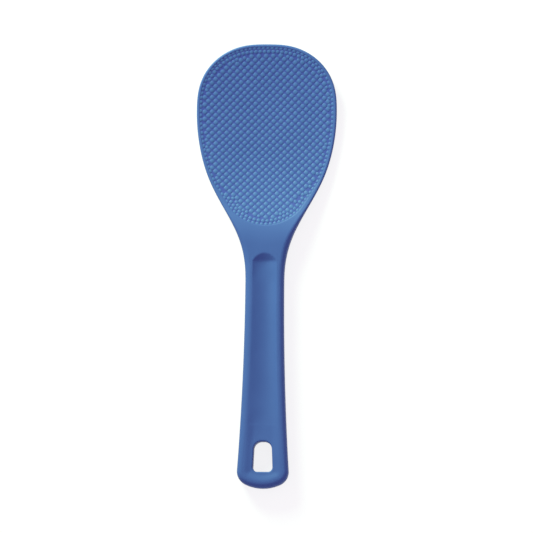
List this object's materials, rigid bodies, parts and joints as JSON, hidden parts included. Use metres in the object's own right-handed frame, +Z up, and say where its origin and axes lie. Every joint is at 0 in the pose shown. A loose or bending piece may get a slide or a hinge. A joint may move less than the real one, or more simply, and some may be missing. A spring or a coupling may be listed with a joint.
{
  "type": "rice paddle",
  "caption": "One-piece moulded rice paddle: broad dished blade with a non-stick bumped face, troughed thumb-rest handle and a hang hole at its end.",
  "frame": {"origin": "centre of the bounding box, on the plane that the paddle rests on", "axes": "+Y along the paddle towards the blade's tip, +X across its width, +Z up out of its front face"},
  "size_m": [0.0758, 0.24, 0.01],
  "materials": {
    "body": "semi-gloss moulded blue plastic, the same colour all over"
  },
  "bodies": {
    "root": {"paddle": "body"}
  },
  "joints": []
}
